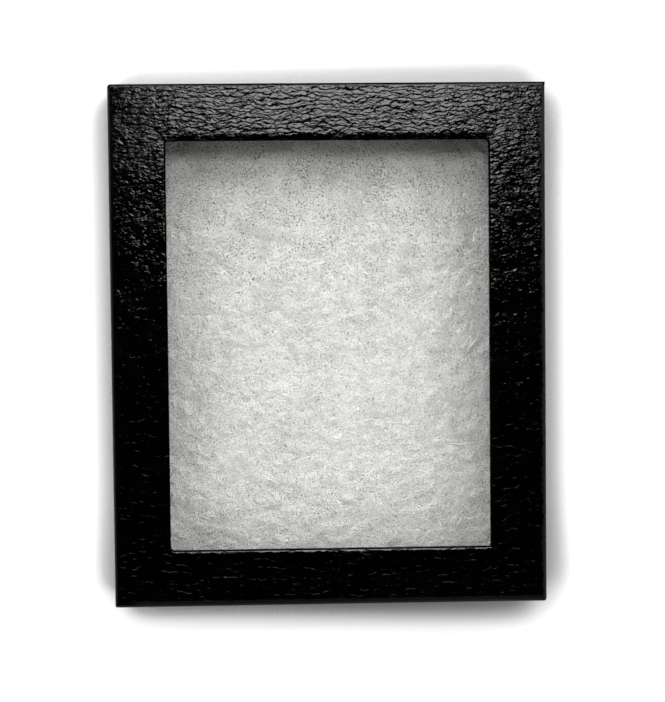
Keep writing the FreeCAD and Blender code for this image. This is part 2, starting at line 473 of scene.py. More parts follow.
def quarter(radius):
    return (math.pi / 2 * radius, radius)


def arc(radius, degrees):
    return (math.radians(degrees) * radius, radius)


def run_of(moves):
    """The length of paper that these moves take."""
    return sum(length for length, radius in moves)


def everywhere(x, y):
    """Keeps every face of a flat sheet."""
    return np.ones(len(x), bool)


def lines(*spans):
    """Grid lines over neighbouring spans, each (start, end, spacing)."""
    places = [spans[0][0]]
    for start, end, spacing in spans:
        count = max(1, round(abs(end - start) / spacing))
        places += list(np.linspace(start, end, count + 1)[1:])
    return np.array(places)


def flat_sheet(name, columns, rows, kept):
    """A grid with its lines at these places, without the faces whose middles aren't kept."""
    bpy.ops.object.select_all(action="DESELECT")
    cells = len(columns) - 1, len(rows) - 1
    bpy.ops.mesh.primitive_grid_add(x_subdivisions=cells[0], y_subdivisions=cells[1], size=2)
    piece = bpy.context.object
    piece.name = name
    piece.data.name = name
    points = points_of(piece)
    column = np.rint((points[:, 0] + 1) / 2 * cells[0]).astype(int)
    row = np.rint((points[:, 1] + 1) / 2 * cells[1]).astype(int)
    move_points(piece, np.column_stack([columns[column], rows[row], np.zeros(len(points))]))
    middles = face_vectors(piece, "center")
    delete_faces(piece, ~kept(middles[:, 0], middles[:, 1]))
    return piece


def remember_sheet(piece, flat, strength):
    """Stores each point's place on the flat sheet, in millimetres, and how strong the grain is there."""
    place = piece.data.attributes.new("sheet", "FLOAT_VECTOR", "POINT")
    place.data.foreach_set("vector", (flat / MM).astype(np.float32).ravel())
    grain = piece.data.attributes.new("grain", "FLOAT", "POINT")
    grain.data.foreach_set("value", strength.astype(np.float32))


# %% [markdown]
# ## The lid's paper
# One sheet covers the lid. It goes over the face, round the outer edges, down the walls, under the rim
# and a little way up inside. At the window it rolls over the edge of the board and down to the glass.
# The flat sheet is a cross: its corners are cut away, so that the four flaps meet at the upright edges.

# %% Measures of the lid's sheet
CORE_X, CORE_Y = HALF_WIDTH - FOLD, HALF_LENGTH - FOLD
CORNER_REACH = math.pi / 4 * FOLD
RIM_ROUND = 0.5 * MM
RIM_WIDTH = 2.0 * MM
WALL_RUN = FACE - LID_LOW.z - FOLD - RIM_ROUND
RIM_RUN = RIM_WIDTH - 2 * RIM_ROUND
LID_TURN_IN = 7.5 * MM
LID_EDGE = [
    quarter(FOLD), (WALL_RUN, 0), quarter(RIM_ROUND), (RIM_RUN, 0), quarter(RIM_ROUND), (LID_TURN_IN, 0),
]
WALL_START = quarter(FOLD)[0] + 0.5 * MM
LID_SHEET = run_of(LID_EDGE)
print("the sheet reaches", round(LID_SHEET / MM, 1), "mm past the fold")

# %% [markdown]
# The flaps meet at the upright corners. Each corner is folded by hand, so each has another shape: one is
# pinched to a point, and the others are rounder.

# %% Folding the outer edges
CORNER_POINT = {(-1, 1): 0.1, (1, 1): 1.15, (-1, -1): 0.6, (1, -1): 0.25}


def by_corner(flat, values):
    """The value that belongs to the corner nearest to each point."""
    chosen = np.zeros(len(flat))
    for (side_x, side_y), value in values.items():
        chosen[(flat[:, 0] * side_x >= 0) & (flat[:, 1] * side_y >= 0)] = value
    return chosen


def fold_outside(flat, core_x, core_y, top, moves, reach):
    """Folds the flaps of a cross-shaped sheet down round a box, with rounded upright corners."""
    past_x, past_y = np.abs(flat[:, 0]) - core_x, np.abs(flat[:, 1]) - core_y
    side_x, side_y = np.sign(flat[:, 0]), np.sign(flat[:, 1])
    on_side = past_x >= past_y
    out, down = follow(np.maximum(past_x, past_y), moves).T
    width = np.minimum(np.maximum(np.where(on_side, past_x, past_y), TINY), reach)
    beyond = np.clip(np.where(on_side, past_y, past_x) / width, 0.0, 1.0)
    turn = np.where(on_side, beyond, 2 - beyond) * math.pi / 4
    pointed = np.maximum(np.cos(turn), np.sin(turn)) ** -by_corner(flat, CORNER_POINT)
    corner = (past_x > 0) & (past_y > 0)
    x = np.where(on_side, core_x + out, np.minimum(np.abs(flat[:, 0]), core_x + np.minimum(out, 0)))
    y = np.where(on_side, np.minimum(np.abs(flat[:, 1]), core_y + np.minimum(out, 0)), core_y + out)
    x = np.where(corner & (out > 0), core_x + out * np.cos(turn) * pointed, x)
    y = np.where(corner & (out > 0), core_y + out * np.sin(turn) * pointed, y)
    flat_part = np.maximum(past_x, past_y) <= 0
    x = np.where(flat_part, np.abs(flat[:, 0]), x)
    y = np.where(flat_part, np.abs(flat[:, 1]), y)
    return np.column_stack([side_x * x, side_y * y, top - down])


# %% [markdown]
# ## The window's edge
# The paper bends in another way at each side of the window. At the top it sinks in a long shallow curve,
# at the sides it turns down sharply, and at the bottom it has been pulled to a narrow slope. Every fold
# ends with a straight run down to the glass, and takes up the same width, so the folds meet in a mitre.

# %% Folds into the window
GLASS_DROP = FACE - GLASS_HIGH.z
WINDOW_REACH = 2.4 * MM


def to_glass(*moves):
    """The moves of a fold, with a flat run before them and a straight run down to the glass after."""
    inwards, fallen = follow(np.array([run_of(moves)]), moves)[0]
    return [(WINDOW_REACH - inwards, 0), *moves, (GLASS_DROP - fallen, 0)]


WINDOW_FOLDS = {
    "top": to_glass(arc(8.0 * MM, 13), arc(0.5 * MM, 77)),
    "bottom": to_glass(arc(1.5 * MM, 21.5), (0.35 * MM, 0), arc(0.4 * MM, 68.5)),
    "side": to_glass(quarter(0.4 * MM)),
}
WINDOW_SHEET = run_of(WINDOW_FOLDS["top"])
ROLL_X, ROLL_Y = WINDOW_HALF_WIDTH + WINDOW_REACH, WINDOW_HALF_LENGTH + WINDOW_REACH


def bend_in(distance, side):
    """How far inwards and down the paper lies, past the line where it starts to bend."""
    return follow(distance * run_of(WINDOW_FOLDS[side]) / WINDOW_SHEET, WINDOW_FOLDS[side])


def smooth(share):
    share = np.clip(share, 0.0, 1.0)
    return share * share * (3 - 2 * share)


# %% [markdown]
# The paper has been slit towards each corner of the window, and near the slit it stretches to meet its
# neighbour. It can't be pulled right into a corner, so the opening's corners are rounded, each by another
# amount.

# %% Rolling the paper into the window
WINDOW_CORNER = {(-1, 1): 0.7 * MM, (1, 1): 1.5 * MM, (-1, -1): 0.9 * MM, (1, -1): 0.15 * MM}
MITRE_REACH = 2.5 * MM
STRETCH_REACH = 8.0 * MM
EASING = 2.0 * MM


def window_depth(flat):
    """How far each point of the flat sheet lies inside the lines where the paper starts to bend."""
    return np.array([ROLL_X, ROLL_Y]) - np.abs(flat[:, :2])


def fold_window(flat, folded):
    inside = window_depth(flat)
    depth = inside.min(axis=1)
    on_side = (inside[:, 0] < inside[:, 1])[:, None]
    side_bend = bend_in(depth, "side")
    end_bend = np.where(flat[:, 1:2] > 0, bend_in(depth, "top"), bend_in(depth, "bottom"))
    own = np.where(on_side, side_bend, end_bend)
    from_mitre = np.abs(inside[:, 0] - inside[:, 1])
    shared = smooth(1 - from_mitre / MITRE_REACH)[:, None]
    bent = own + ((side_bend + end_bend) / 2 - own) * shared
    pulled = (depth - bent[:, 0])[:, None]
    stretch = smooth(1 - from_mitre / STRETCH_REACH)[:, None]
    share = np.where(np.hstack([on_side, ~on_side]), 1.0, stretch)
    rolled = depth > 0
    folded[rolled, :2] += (np.sign(flat[:, :2]) * pulled * share)[rolled]
    folded[rolled, 2] -= bent[rolled, 1]
    return folded


def round_window_corners(flat, folded):
    """Bends the square rings of points round each corner into arcs."""
    radius = by_corner(flat, WINDOW_CORNER)
    centre = np.column_stack([WINDOW_HALF_WIDTH - radius, WINDOW_HALF_LENGTH - radius])
    local = np.abs(folded[:, :2]) - centre
    ring = local.max(axis=1)
    share = local.min(axis=1) / np.maximum(ring, TINY)
    turn = np.where(local[:, 0] >= local[:, 1], share, 2 - share) * math.pi / 4
    arcs = ring[:, None] * np.column_stack([np.cos(turn), np.sin(turn)])
    amount = smooth((radius + WINDOW_REACH + EASING - ring) / EASING)
    amount = np.where(local.min(axis=1) > 0, amount, 0.0)[:, None]
    folded[:, :2] = np.sign(flat[:, :2]) * (centre + local + (arcs - local) * amount)
    return folded


# %% [markdown]
# The grain fades where the paper is stretched smooth over a fold: most along the bottom edge, least
# along the top.

# %% Where the grain fades
SMOOTH_SIDE, SMOOTH_BOTTOM = 1.9 * MM, 2.2 * MM
SMOOTH_TOP_LEFT, SMOOTH_TOP_RIGHT = 0.3 * MM, 1.3 * MM
SIDE_SOFT, TOP_SOFT, BOTTOM_SOFT = 0.9 * MM, 0.4 * MM, 0.6 * MM
WALL_SOFT = 1.2 * MM
SIDE_FLATTENED, END_FLATTENED = 0.3, 0.85
FLATTENED_OVER = 0.5 * MM


def uneven(along):
    """A slow and uneven wave along an edge, from -1 to 1."""
    steps = along / MM
    return (np.sin(0.31 * steps + 1) + np.sin(1.13 * steps) + np.sin(2.9 * steps + 2)) / 3


def grain_strength(flat):
    x, y = flat[:, 0], flat[:, 1]
    to_right = smooth((x + HALF_WIDTH) / (2 * HALF_WIDTH))
    smooth_top = SMOOTH_TOP_LEFT + (SMOOTH_TOP_RIGHT - SMOOTH_TOP_LEFT) * to_right + 0.3 * MM * uneven(x)
    smooth_side = SMOOTH_SIDE + 0.5 * MM * uneven(y)
    side = (np.abs(x) - (HALF_WIDTH - smooth_side)) / SIDE_SOFT
    top = (y - (HALF_LENGTH - smooth_top)) / TOP_SOFT
    bottom = (-y - (HALF_LENGTH - SMOOTH_BOTTOM - 0.2 * MM * uneven(x))) / BOTTOM_SOFT
    nearest = np.maximum(np.maximum(side, top), bottom)
    strength = 1 - 0.9 * np.clip(nearest, 0, 1)
    walls = np.maximum(np.abs(x) - HALF_WIDTH, np.abs(y) - HALF_LENGTH) / WALL_SOFT
    strength = np.maximum(strength, np.clip(walls - 0.6, 0, 1))
    inside = window_depth(flat)
    flattened = np.where(inside[:, 0] < inside[:, 1], SIDE_FLATTENED, END_FLATTENED)
    past_edge = np.clip((inside.min(axis=1) - WINDOW_REACH + FLATTENED_OVER) / FLATTENED_OVER, 0, 1)
    return strength * (1 - flattened * past_edge)


# %% Paper over the face
LEFT_SINK, LEFT_SINK_REACH = 0.1 * MM, 3.5 * MM
FINE = 0.26 * MM
ACROSS = 0.65 * MM
ALONG = 0.19 * MM


def mirrored(places):
    """Lines for one half, repeated on the other side of the middle."""
    return np.concatenate([-places[::-1], places[places > 0]])


def face_lines(roll, core, spacing):
    """Grid lines over half of the face, from the window to the top of a wall."""
    fine = min(FINE, spacing)
    return mirrored(lines(
        (0.0, roll - WINDOW_SHEET, spacing), (roll - WINDOW_SHEET, roll, fine), (roll, core, spacing),
        (core, core + CORNER_REACH, fine), (core + CORNER_REACH, core + WALL_START, fine),
    ))


def on_face(x, y):
    """True outside the window and inside the cross."""
    inside = window_depth(np.column_stack([x, y])).min(axis=1)
    past_x, past_y = np.abs(x) - CORE_X, np.abs(y) - CORE_Y
    cut_away = np.minimum(past_x, past_y) > CORNER_REACH
    return (inside < WINDOW_SHEET) & ~cut_away


def fold_lid(piece):
    flat = points_of(piece)
    remember_sheet(piece, flat, grain_strength(flat))
    folded = fold_outside(flat, CORE_X, CORE_Y, FACE, LID_EDGE, CORNER_REACH)
    folded[:, 2] -= LEFT_SINK * np.exp(-np.maximum(flat[:, 0] + HALF_WIDTH, 0) / LEFT_SINK_REACH)
    move_points(piece, round_window_corners(flat, fold_window(flat, folded)))


STEEP_OUTSIDE = math.cos(math.radians(17))
STEEP_WINDOW_SIDE = math.cos(math.radians(12))
STEEP_WINDOW = math.cos(math.radians(27))
WINDOW_ZONE = 5 * MM
OPEN_SHEET, WINDOW_FOLD, OUTER_EDGE = 0, 1, 2


def sort_faces(piece):
    """Which finish each face of the lid's paper has. The top edge is finished as the window's folds."""
    middles = face_vectors(piece, "center")
    lean = np.abs(face_vectors(piece, "normal"))
    away = np.abs(middles)
    outside = (away[:, 0] > ROLL_X + WINDOW_ZONE) | (away[:, 1] > ROLL_Y + WINDOW_ZONE)
    limit = np.where(lean[:, 0] > lean[:, 1], STEEP_WINDOW_SIDE, STEEP_WINDOW)
    steep = lean[:, 2] < np.where(outside, STEEP_OUTSIDE, limit)
    on_top_edge = middles[:, 1] > CORE_Y
    return np.where(steep, np.where(outside & ~on_top_edge, OUTER_EDGE, WINDOW_FOLD), OPEN_SHEET)


def finish_paper(piece, *finishes):
    """Welds the seams, gives the paper its one finish or its three, and embosses the grain."""
    weld(piece, 0.002 * MM)
    piece.data.materials.clear()
    for material in finishes:
        piece.data.materials.append(material)
    if len(finishes) > 1:
        piece.data.polygons.foreach_set("material_index", sort_faces(piece))
    emboss(piece)
    pick(piece)
    bpy.ops.object.shade_smooth()
    report(piece)


face_paper = flat_sheet(
    "lid_paper_face", face_lines(ROLL_X, CORE_X, ACROSS), face_lines(ROLL_Y, CORE_Y, ALONG), on_face,
)
fold_lid(face_paper)
finish_paper(face_paper, LEATHER_PAPER, SHADED_FOLD_PAPER, SHADED_EDGE_PAPER)
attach(face_paper, "lid")
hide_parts("lid_wrap")

# %% [markdown]
# The walls are the flaps of the same sheet. They are kept as two more pieces, the sides and the ends,
# because one mesh with all the grain would be too heavy to handle.

# %% Paper over the walls
INSIDE_STEP = 1.5 * MM


def flap_lines(core, spacing):
    """Grid lines down a flap: close together over the grain and at the rim, wide up the inside."""
    rim = LID_SHEET - LID_TURN_IN - 2 * quarter(RIM_ROUND)[0] - RIM_RUN
    half = core + lines(
        (WALL_START, rim, spacing), (rim, LID_SHEET - LID_TURN_IN, FINE),
        (LID_SHEET - LID_TURN_IN, LID_SHEET, INSIDE_STEP),
    )
    return np.concatenate([-half[::-1], half])


def flap_width(core, spacing):
    return mirrored(lines((0.0, core, spacing), (core, core + CORNER_REACH, spacing)))


side_paper = flat_sheet(
    "lid_paper_sides", flap_lines(CORE_X, ACROSS), flap_width(CORE_Y, ALONG),
    lambda x, y: np.abs(x) > CORE_X,
)
end_paper = flat_sheet(
    "lid_paper_ends", flap_width(CORE_X, ACROSS), flap_lines(CORE_Y, ALONG),
    lambda x, y: np.abs(y) > CORE_Y,
)
for flap in (side_paper, end_paper):
    fold_lid(flap)
    finish_paper(flap, LEATHER_PAPER)
    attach(flap, "lid")
    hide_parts("lid_wrap")

# %% [markdown]
# ## Behind the window
# The flaps round the window are turned under the face and glued there, so from below they show through
# the glass. Cut at a slant from the corners of the window, each gets narrower towards its free end and
# leaves a bare corner of board.

# %% Flaps under the face
FLAP_WIDTH = 7.9 * MM
FLAP_HEIGHT = GLASS_HIGH.z + 0.02 * MM
FLAP_GRAIN = 0.6


def window_flap(name, along, across, turned):
    """One flap that faces down: along the edge of the window, and outwards from it."""
    cells = lines((-1.0, 1.0, 1.0 * MM / along)), lines((0.0, FLAP_WIDTH, 0.5 * MM))
    piece = flat_sheet(name, *cells, everywhere)
    flat = points_of(piece)
    reach = flat[:, 0] * (along - flat[:, 1])
    outwards = across + flat[:, 1]
    remember_sheet(piece, np.column_stack([reach, outwards, flat[:, 2]]), np.full(len(flat), FLAP_GRAIN))
    quarter_turns = [(reach, outwards), (-outwards, reach), (-reach, -outwards), (outwards, -reach)]
    move_points(piece, np.column_stack([*quarter_turns[turned], np.full(len(flat), FLAP_HEIGHT)]))
    return piece


WINDOW_HALVES = (WINDOW_HALF_WIDTH, WINDOW_HALF_LENGTH)
flaps = []
for turned in range(4):
    name = "lid_paper_window_turn_in" if turned == 0 else "window_flap_" + str(turned)
    along, across = WINDOW_HALVES if turned % 2 == 0 else WINDOW_HALVES[::-1]
    flaps.append(window_flap(name, along, across, turned))
bpy.ops.object.select_all(action="DESELECT")
for flap in flaps:
    flap.select_set(True)
bpy.context.view_layer.objects.active = flaps[0]
bpy.ops.object.join()
turn_in = flaps[0]
select_faces(turn_in, np.ones(len(turn_in.data.polygons), bool))
bpy.ops.mesh.flip_normals()
bpy.ops.object.mode_set(mode="OBJECT")
turn_in.data.materials.clear()
# The flaps take the folds' paper, whose gloss is turned down as painted shade.
turn_in.data.materials.append(SHADED_FOLD_PAPER)
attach(turn_in, "lid")
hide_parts("lid_wrap")
report(turn_in)

# %% [markdown]
# ## The tray's paper
# One long strip is wrapped round the tray. It starts inside the walls, goes over their tops, down the
# outside and under the floor. The strip is a grid again: its length goes round the tray, and its width
# follows the fold.

# %% Strip round the tray
TRAY_ROUND = 0.5 * MM
TRAY_CORNER = 1.0 * MM
TRAY_WALL = 2.0 * MM
TRAY_TURN_IN = 6.0 * MM
TRAY_TURN_UNDER = 12.0 * MM
TRAY_X, TRAY_Y = TRAY_HIGH.x, TRAY_HIGH.y
TOP_RUN = TRAY_WALL / 2 - TRAY_ROUND
TRAY_OUTSIDE = [
    (TOP_RUN, 0), quarter(TRAY_ROUND), (TRAY_HIGH.z - TRAY_LOW.z - 2 * TRAY_ROUND, 0),
    quarter(TRAY_ROUND), (TRAY_TURN_UNDER - TRAY_ROUND, 0),
]
TRAY_INSIDE = [(TOP_RUN, 0), quarter(TRAY_ROUND), (TRAY_TURN_IN - TRAY_ROUND, 0)]


def around(distance, inset, half_x, half_y, radius):
    """Points on a rounded rectangle that lies this far inside the outermost one, clockwise from the right
    side, at this distance along the outermost one."""
    bend = math.pi / 2 * radius
    legs = [2 * (half_y - radius), 2 * (half_x - radius)] * 2
    round_by = np.maximum(radius - inset, 0.0)
    back = np.maximum(radius, inset)
    corners = [(1, -1), (1, 1), (-1, 1), (-1, -1), (1, -1)]
    spots = np.zeros((len(distance), 2))
    start = 0.0
    for leg, length in enumerate(legs):
        ends = corners[leg:leg + 2]
        centres = [np.column_stack([x * (half_x - back), y * (half_y - back)]) for x, y in ends]
        share = np.clip((distance - start) / length, 0, 1)[:, None]
        turn = (leg + np.clip((distance - start - length) / bend, 0, 1)) * math.pi / 2
        spoke = round_by[:, None] * np.column_stack([np.cos(turn), np.sin(turn)])
        here = (distance >= start)[:, None]
        spots = np.where(here, centres[0] + (centres[1] - centres[0]) * share + spoke, spots)
        start += length + bend
    return spots * [1, -1]


TRAY_GRAIN = 0.75
STRAIGHT_STEP, BEND_STEP = 0.9 * MM, 0.3 * MM
TOP_STEP, TURN_IN_STEP = 0.25 * MM, 0.8 * MM
FADE_UNDER = 2 * MM
side_leg, end_leg = 2 * (TRAY_Y - TRAY_CORNER), 2 * (TRAY_X - TRAY_CORNER)
round_leg = math.pi / 2 * TRAY_CORNER
strip_columns = [0.0]
for leg in [side_leg, end_leg] * 2:
    start = strip_columns[-1]
    places = lines((start, start + leg, STRAIGHT_STEP), (start + leg, start + leg + round_leg, BEND_STEP))
    strip_columns += list(places[1:])
wall_end = run_of(TRAY_OUTSIDE[:4])
top_end = TOP_RUN + 2 * MM
strip_rows = np.concatenate([
    -lines((0.0, top_end, TOP_STEP), (top_end, run_of(TRAY_INSIDE), TURN_IN_STEP))[:0:-1],
    lines((0.0, wall_end, BEND_STEP), (wall_end, run_of(TRAY_OUTSIDE), INSIDE_STEP)),
])
tray_paper = flat_sheet("tray_paper", np.array(strip_columns), strip_rows, everywhere)
flat = points_of(tray_paper)
outer, inner = flat[:, 1] >= 0, flat[:, 1] < 0
path = np.where(outer[:, None], follow(flat[:, 1], TRAY_OUTSIDE), follow(-flat[:, 1], TRAY_INSIDE))
inset = TRAY_WALL / 2 + np.where(outer, -path[:, 0], path[:, 0])
under = np.clip((flat[:, 1] - wall_end) / FADE_UNDER, 0, 1)
remember_sheet(tray_paper, flat, TRAY_GRAIN * (1 - under))
plan = around(flat[:, 0], inset, TRAY_X, TRAY_Y, TRAY_CORNER)
move_points(tray_paper, np.column_stack([plan, TRAY_HIGH.z - path[:, 1]]))
finish_paper(tray_paper, TRAY_PAPER)
middles = face_vectors(tray_paper, "center")
on_wall = np.abs(middles[:, 0]) > TRAY_X - 0.1 * MM
facing = (face_vectors(tray_paper, "normal")[on_wall, 0] * np.sign(middles[on_wall, 0])).mean()
print("the tray's paper faces", "outwards" if facing > 0 else "inwards", round(facing, 2))
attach(tray_paper, "tray")
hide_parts("tray_wrap")

# %% [markdown]
# ## The fibre pad
# The pad is a piece of polyester batting, cut a little smaller than the tray. It is soft, thicker in the
# middle, and its top is gently lumpy. A block is rounded and remeshed, its rim is thinned, and cloth that
# is blown up from inside gives it the swell of something stuffed.

# %% Blowing up a pad
def apply_modifier(piece, kind, **settings):
    pick(piece)
    modifier = piece.modifiers.new(kind.lower(), kind)
    for name, value in settings.items():
        setattr(modifier, name, value)
    bpy.ops.object.modifier_apply(modifier=modifier.name)


def rounded_block(name, low, high, rounding):
    bpy.ops.object.select_all(action="DESELECT")
    bpy.ops.mesh.primitive_cube_add(size=1, location=(low + high) / 2, scale=high - low)
    piece = bpy.context.object
    piece.name = name
    piece.data.name = name
    bpy.ops.object.transform_apply(location=True, rotation=True, scale=True)
    apply_modifier(piece, "BEVEL", width=rounding, segments=3)
    return piece


def swell(piece, pressure, furthest, frames):
    """Blows the piece up as cloth, and moves no point further than the limit."""
    start = points_of(piece)
    cloth = piece.modifiers.new("cloth", "CLOTH")
    cloth.settings.use_pressure = True
    cloth.settings.uniform_pressure_force = pressure
    cloth.settings.effector_weights.gravity = 0.0
    cloth.point_cache.frame_start, cloth.point_cache.frame_end = 1, frames
    for number in range(1, frames + 1):
        scene.frame_set(number)
    pick(piece)
    bpy.ops.object.modifier_apply(modifier=cloth.name)
    scene.frame_set(1)
    moved = points_of(piece) - start
    distance = np.linalg.norm(moved, axis=1, keepdims=True)
    move_points(piece, start + moved * np.minimum(1, furthest / np.maximum(distance, TINY)))
    print(piece.name, "swelled by up to", round(distance.max() / MM, 2), "mm, kept to", furthest / MM)


def into_box(piece, low, high):
    move_points(piece, np.clip(points_of(piece), low, high))


# %% The pad
PAD_MARGIN = 1.2 * MM
PAD_LUMPS = 1.9 * MM
RIM_DROPS = {
    "left": (3.2 * MM, 9.0 * MM), "right": (4.4 * MM, 14.0 * MM),
    "bottom": (5.0 * MM, 12.0 * MM), "top": (6.3 * MM, 10.5 * MM),
}
PAD_ROUNDING = 2.5 * MM
PAD_VOXEL = 2.6 * MM
PRESSURE, FURTHEST_SWELL, SWELL_FRAMES = 4.0, 0.6 * MM, 20
pad_low = PAD_LOW.copy()
pad_low.x += PAD_MARGIN
pad_low.y += PAD_MARGIN
pad_high = PAD_HIGH.copy()
pad_high.x -= PAD_MARGIN
pad_high.y -= PAD_MARGIN
pad_high.z -= PAD_LUMPS
batting = rounded_block("fibre_batting", pad_low, pad_high, PAD_ROUNDING)
apply_modifier(batting, "REMESH", mode="VOXEL", voxel_size=PAD_VOXEL)


def thin_rim(piece):
    """Lets the top fall away towards each side of the rim, by its own depth and over its own reach."""
    points = points_of(piece)
    from_side = {
        "left": points[:, 0] + pad_high.x, "right": pad_high.x - points[:, 0],
        "bottom": points[:, 1] + pad_high.y, "top": pad_high.y - points[:, 1],
    }
    fall = np.zeros(len(points))
    for side, (drop, reach) in RIM_DROPS.items():
        fall = np.maximum(fall, drop * np.exp(-np.maximum(from_side[side], 0) / reach))
    height = (points[:, 2] - pad_low.z) / (pad_high.z - pad_low.z)
    points[:, 2] -= fall * np.clip(height, 0, 1)
    move_points(piece, points)


thin_rim(batting)
swell(batting, PRESSURE, FURTHEST_SWELL, SWELL_FRAMES)
apply_modifier(batting, "SUBSURF", levels=2, render_levels=2)

# %% [markdown]
# The top of batting is a cloud of small tufts. Noise in a geometry node tree lifts them out of the mesh,
# from soft lumps a few centimetres wide to tufts of about a millimetre.

# %% Tufts
LUMP_SCALE, LUMP_HEIGHT = 60.0, 1.2 * MM
TUFT_SCALE, TUFT_HEIGHT = 330.0, 1.0 * MM
TUFT_MIDDLE = 0.55


def tufts_tree():
    shape = {"Geometry": "Geometry"}
    tree, source, result = start_group("tufts", "GeometryNodeTree", shape, shape)
    place = tree.nodes.new("GeometryNodeInputPosition").outputs[0]
    lumps = noise(tree, place, LUMP_SCALE, 2.0).outputs[0]
    tufts = noise(tree, place, TUFT_SCALE, 3.0, 0.6).outputs[0]
    lift = calculate(tree, "MULTIPLY", calculate(tree, "SUBTRACT", lumps, TUFT_MIDDLE), LUMP_HEIGHT)
    fluff = calculate(tree, "MULTIPLY", calculate(tree, "SUBTRACT", tufts, TUFT_MIDDLE), TUFT_HEIGHT)
    shift = add(tree, "ShaderNodeCombineXYZ", {"Z": calculate(tree, "ADD", lift, fluff)}).outputs[0]
    keys = {"Geometry": source.outputs[0], "Offset": shift}
    tree.links.new(add(tree, "GeometryNodeSetPosition", keys).outputs[0], result.inputs[0])
    return tree


apply_modifier(batting, "NODES", node_group=tufts_tree())
into_box(batting, PAD_LOW, PAD_HIGH)
pick(batting)
bpy.ops.object.shade_smooth()
print("batting reaches up to", round(points_of(batting)[:, 2].max() / MM, 2), "mm")
report(batting)

# %% [markdown]
# ## White fibre
# Batting is a mat of fine curled fibres. Where noise crosses its middle value it draws thin wandering
# lines, and several layers of them look like matted fibres. Between the fibres, and in specks and clumps,
# the white mat is painted darker, as painted shade in the fluff.

# %% Matted fibres
def mat_group():
    tree, source, result = start_group(
        "matted_fibres", "ShaderNodeTree", {"Place": "Vector", "Curl": "Float"},
        {"Fibres": "Float", "Specks": "Float", "Cloud": "Float"},
    )
    place = source.outputs["Place"]
    curl = move(tree, "SUBTRACT", noise(tree, place, 0.35, 2.0).outputs[1], (0.5, 0.5, 0.5))
    curled = move(tree, "ADD", place, enlarge(tree, curl, source.outputs["Curl"]))

    def fibres(scale, stretch, width):
        stretched = move(tree, "MULTIPLY", curled, stretch)
        value = noise(tree, stretched, scale, 1.0, 0.5).outputs[0]
        away = calculate(tree, "ABSOLUTE", calculate(tree, "SUBTRACT", value, 0.5))
        return ramp(tree, away, 0.0, width, 1.0, 0.0)

    layers = [
        fibres(0.9, (1.0, 0.45, 1.0), 0.07), fibres(1.0, (0.45, 1.0, 1.0), 0.07),
        fibres(1.5, (0.8, 0.8, 1.0), 0.06),
    ]
    total = calculate(tree, "ADD", calculate(tree, "ADD", layers[0], layers[1]), layers[2])
    total = calculate(tree, "MULTIPLY", total, 0.5)
    tree.links.new(total, result.inputs["Fibres"])
    specks = noise(tree, curled, 2.9, 1.0).outputs[0]
    tree.links.new(calculate(tree, "SUBTRACT", specks, 0.5), result.inputs["Specks"])
    cloud = noise(tree, place, 0.11, 4.0, 0.6).outputs[0]
    tree.links.new(ramp(tree, cloud, 0.3, 0.7), result.inputs["Cloud"])
    return tree


MAT = mat_group()


def object_place(tree):
    """The place on a piece in millimetres."""
    place = add(tree, "ShaderNodeTexCoord").outputs["Object"]
    return move(tree, "MULTIPLY", place, (1 / MM, 1 / MM, 1 / MM))


TOP_LIGHT_FROM, TOP_LIGHT_TO = 5.0, 50.0
WOOL_GLOSS = 0.2


def white_fibre(name, dark, light, relief):
    """White wool, painted darker between its fibres and in its clumps as painted shade, and painted paler
    and more speckled towards the top end of the case as painted light, where light rakes in from the top.
    """
    material, tree, shader = new_material(name)
    mat = place_group(tree, MAT, {"Place": object_place(tree), "Curl": 2.5})
    fibres, cloud = mat.outputs["Fibres"], mat.outputs["Cloud"]
    upwards = add(tree, "ShaderNodeSeparateXYZ", {0: object_place(tree)}).outputs["Y"]
    # Painted light: towards the top end the wool is painted paler, with stronger specks and clumps, for
    # the raking light that falls there.
    toward_top_light = ramp(tree, upwards, TOP_LIGHT_FROM, TOP_LIGHT_TO)

    def amount(level_in_middle, level_at_top):
        """A number that goes from its level in the middle of the case to its level at the top end, where
        the painted light is added.
        """
        return ramp(tree, toward_top_light, 0.0, 1.0, level_in_middle, level_at_top)

    specks = calculate(tree, "MULTIPLY", mat.outputs["Specks"], amount(3.1, 15.0))
    clumps = calculate(tree, "MULTIPLY", calculate(tree, "SUBTRACT", cloud, 0.5), amount(0.25, 1.2))
    soft = calculate(tree, "ADD", calculate(tree, "MULTIPLY", fibres, amount(0.2, 0.6)), clumps)
    share = calculate(tree, "ADD", calculate(tree, "ADD", specks, soft), amount(0.78, 1.35))
    tree.links.new(mix_colours(tree, share, dark, light), shader.inputs["Base Color"])
    bump = add(tree, "ShaderNodeBump", {"Height": fibres, "Distance": relief, "Strength": 1.0})
    tree.links.new(bump.outputs[0], shader.inputs["Normal"])
    tree.links.new(ramp(tree, fibres, 0.0, 1.0, 0.95, 0.8), shader.inputs["Roughness"])
    shader.inputs["Specular IOR Level"].default_value = WOOL_GLOSS
    return material


# The dark end of the wool's colour is painted shade between its fibres and in its clumps.
BATTING = white_fibre("white_batting", (0.25, 0.246, 0.236), (0.99, 0.985, 0.97), 0.1 * MM)
batting.data.materials.clear()
batting.data.materials.append(BATTING)
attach(batting, "tray")
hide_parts("fibre_pad")

# %% [markdown]
# Loose fibres lie on top of the mat in long curls. Each is a curve with a few points, all of them in one
# curve object with a little thickness, which is then made a mesh.

